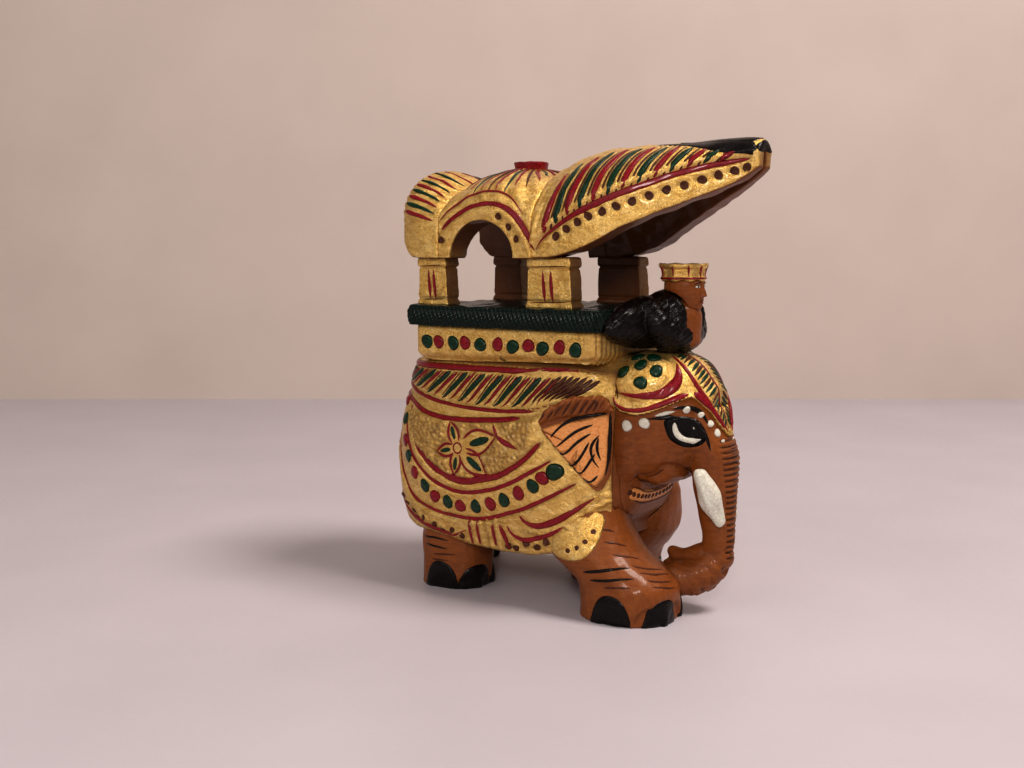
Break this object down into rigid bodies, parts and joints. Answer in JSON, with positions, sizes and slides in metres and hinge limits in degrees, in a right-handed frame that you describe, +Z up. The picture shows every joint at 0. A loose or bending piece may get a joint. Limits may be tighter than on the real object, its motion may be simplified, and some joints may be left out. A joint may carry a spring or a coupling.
{
  "type": "carved wooden elephant figurine",
  "caption": "Hand-carved and painted wooden elephant in a walking pose, with blanket, head cloth, howdah with a flared canopy, and a seated driver.",
  "frame": {"origin": "on the ground, under the middle of the carving's bounding box", "axes": "+X is the way the elephant faces, +Y is its left side, +Z is up"},
  "size_m": [0.0892, 0.0498, 0.0999],
  "materials": {
    "varnished_wood": "clear varnish over close-grained light wood, worn darker in the cuts",
    "gold_paint": "metallic gold paint, brushed over chisel marks, antiqued in the hollows",
    "ear_orange_paint": "thin orange paint with dark brushed veins",
    "black_lacquer": "glossy black lacquer",
    "dark_green_lacquer": "glossy dark green lacquer over close ribs",
    "leaf_green_paint": "glossy green brush strokes and dots",
    "crimson_paint": "glossy crimson brush strokes and dots",
    "white_paint": "satin white paint"
  },
  "bodies": {
    "root": {"body": "varnished_wood", "tail": "varnished_wood", "front_right_leg": "varnished_wood", "front_left_leg": "varnished_wood", "rear_right_leg": "varnished_wood", "rear_left_leg": "varnished_wood", "front_right_toenails": "black_lacquer", "front_left_toenails": "black_lacquer", "rear_right_toenails": "black_lacquer", "rear_left_toenails": "black_lacquer", "head": "varnished_wood", "trunk": "varnished_wood", "right_ear": "ear_orange_paint", "left_ear": "ear_orange_paint", "right_tusk": "white_paint", "left_tusk": "white_paint", "neck_collar": "varnished_wood", "head_cloth": "gold_paint", "saddle_blanket": "gold_paint", "seat_block": "gold_paint", "howdah_platform": "dark_green_lacquer", "front_right_post": "gold_paint", "front_left_post": "gold_paint", "rear_right_post": "gold_paint", "rear_left_post": "gold_paint", "canopy_dome": "gold_paint", "front_awning": "gold_paint", "rear_awning": "gold_paint", "canopy_finial": "crimson_paint", "mahout_torso": "varnished_wood", "mahout_coat": "black_lacquer", "mahout_arms": "black_lacquer", "mahout_head": "varnished_wood", "mahout_turban": "gold_paint"}
  },
  "joints": []
}
